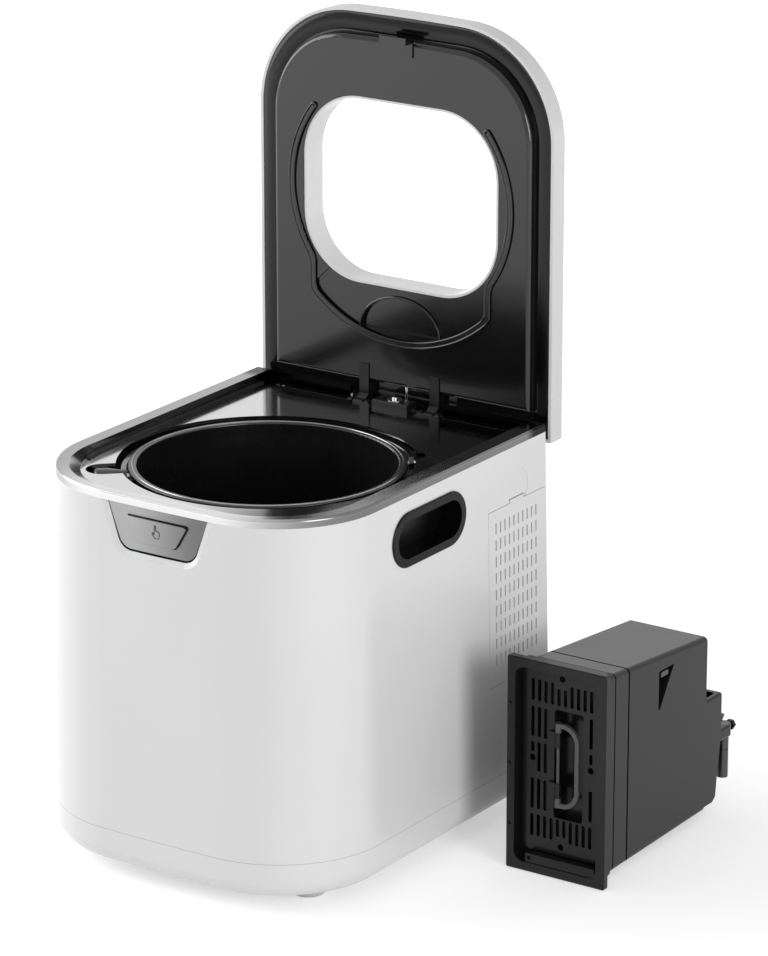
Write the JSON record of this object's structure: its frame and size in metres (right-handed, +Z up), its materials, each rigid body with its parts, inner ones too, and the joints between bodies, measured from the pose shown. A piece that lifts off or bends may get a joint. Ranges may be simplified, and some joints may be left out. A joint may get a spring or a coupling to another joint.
{
  "type": "electric food waste composter",
  "caption": "Worktop food waste composter: D-shaped housing, open hinged lid with window, lift-out bucket with stirrer, latch button, vent cover and a taken-out filter unit.",
  "frame": {"origin": "on the floor, midway between the housing's sides and midway between its front and rear", "axes": "+Z up, front towards -Y, +X to the right seen from the front"},
  "size_m": [0.4267, 0.4282, 0.63],
  "materials": {
    "white_shell": "smooth",
    "white_lid": "smooth",
    "foot_rubber": "matt",
    "steel": "satin",
    "silver_trim": "satin",
    "black_satin": "satin",
    "rim_metal": "polished",
    "deck_metal": "polished",
    "seal_rubber": "matt",
    "liner_steel": "satin",
    "heater_mica": "matt",
    "motor_steel": "satin",
    "gearbox_cast": "cast",
    "bucket_coat": "non-stick coated",
    "bearing_brass": "satin",
    "dark_chrome": "dark polished",
    "agitator_steel": "non-stick coated",
    "board_green": "matt",
    "lid_black": "gloss",
    "bezel_grey": "satin",
    "window_clear": "clear",
    "seal_black": "satin",
    "filter_black": "satin",
    "handle_grey": "satin",
    "carbon": "matt"
  },
  "bodies": {
    "housing": {"base_tray": "white_shell", "feet": "foot_rubber", "base_screws": "steel", "outer_shell": "white_shell", "button_panel": "silver_trim", "right_hand_grip": "black_satin", "left_hand_grip": "black_satin", "rim_band": "rim_metal", "deck_plate": "deck_metal", "well_skirt": "black_satin", "rim_gasket": "seal_rubber", "chamber_liner": "liner_steel", "heater_band": "heater_mica", "gear_motor": "motor_steel", "gearbox_case": "gearbox_cast", "hinge_bracket": "black_satin", "hinge_rod": "dark_chrome", "rod_caps": "dark_chrome", "switch_block": "black_satin", "switch_disc": "steel", "latch_guide": "black_satin", "filter_bay": "black_satin", "control_board": "board_green", "board_posts": "black_satin", "exhaust_fan_frame": "black_satin", "power_inlet": "black_satin", "inlet_pins": "bearing_brass"},
    "lid": {"lid_outer_shell": "white_lid", "lid_inner_panel": "lid_black", "lid_window_bezel": "bezel_grey", "lid_window": "window_clear", "lid_seal_rib": "seal_black", "lid_catch": "lid_black", "lid_hinge_arms": "black_satin"},
    "button": {"open_button": "silver_trim"},
    "rocker": {"latch_rocker": "black_satin"},
    "plunger": {"switch_plunger": "steel"},
    "bucket": {"bucket_pot": "bucket_coat", "bucket_bearing": "bearing_brass", "bucket_ears": "steel"},
    "carry_handle": {"bucket_handle": "dark_chrome", "handle_lug": "dark_chrome"},
    "stirrer": {"agitator": "agitator_steel"},
    "drive": {"drive_coupler": "steel"},
    "fan_rotor": {"exhaust_fan_rotor": "black_satin"},
    "side_cover": {"vent_cover": "white_shell"},
    "filter_unit": {"filter_front_frame": "filter_black", "frame_screws": "steel", "filter_grille": "filter_black", "handle_tabs": "filter_black", "filter_case": "filter_black", "latch_pin": "steel", "carbon_block": "carbon", "filter_rear_duct": "filter_black", "valve_block": "filter_black", "valve_tube": "steel", "valve_screw": "filter_black"},
    "filter_pull": {"filter_handle": "handle_grey"},
    "knob": {"valve_knob": "filter_black"}
  },
  "joints": [
    {"name": "lid_hinge", "type": "hinge", "parent": "housing", "child": "lid", "pos_m": [0, 0.159, 0.306], "axis": [-1, 0, 0], "range_deg": [-90, 0]},
    {"name": "open_button_press", "type": "slide", "parent": "housing", "child": "button", "axis": [0, 1, 0], "range_m": [0, 0.0025], "stiffness_N_per_m": 400},
    {"name": "latch_rocker_tilt", "type": "hinge", "parent": "housing", "child": "rocker", "pos_m": [0, -0.1525, 0.2975], "axis": [1, 0, 0], "range_deg": [-1, 20]},
    {"name": "lid_switch_press", "type": "slide", "parent": "housing", "child": "plunger", "axis": [0, 0, -1], "range_m": [0, 0.0016], "stiffness_N_per_m": 150},
    {"name": "bucket_lift", "type": "slide", "parent": "housing", "child": "bucket", "axis": [0, 0, 1], "range_m": [0, 0.3]},
    {"name": "carry_handle_swing", "type": "hinge", "parent": "bucket", "child": "carry_handle", "pos_m": [0, -0.018, 0.3043], "axis": [0.7431, 0.6691, 0], "range_deg": [0, 100]},
    {"name": "stirrer_spin", "type": "hinge", "parent": "bucket", "child": "stirrer", "pos_m": [0, -0.018, 0.17], "axis": [0, 0, 1], "continuous": true},
    {"name": "drive_spin", "type": "hinge", "parent": "housing", "child": "drive", "pos_m": [0, -0.018, 0.12], "axis": [0, 0, 1], "continuous": true},
    {"name": "fan_spin", "type": "hinge", "parent": "housing", "child": "fan_rotor", "pos_m": [-0.07, 0.154, 0.13], "axis": [0, 1, 0], "continuous": true},
    {"name": "vent_cover_slide", "type": "slide", "parent": "housing", "child": "side_cover", "axis": [1, 0, 0], "range_m": [0, 0.045]},
    {"name": "filter_unit_lift", "type": "slide", "parent": "housing", "child": "filter_unit", "axis": [0, 0, 1], "range_m": [0, 0.2]},
    {"name": "filter_handle_fold", "type": "hinge", "parent": "filter_unit", "child": "filter_pull", "pos_m": [0.2355, 0.0354, 0.092], "axis": [0, 0, -1], "range_deg": [0, 90]},
    {"name": "valve_knob_turn", "type": "hinge", "parent": "filter_unit", "child": "knob", "pos_m": [0.262, 0.237, 0.07], "axis": [0, 0, 1], "range_deg": [0, 90]}
  ],
  "couplings": [
    {"joint": "latch_rocker_tilt", "follows": "open_button_press", "rad_per_m": 132},
    {"joint": "stirrer_spin", "follows": "drive_spin", "ratio": 1}
  ]
}
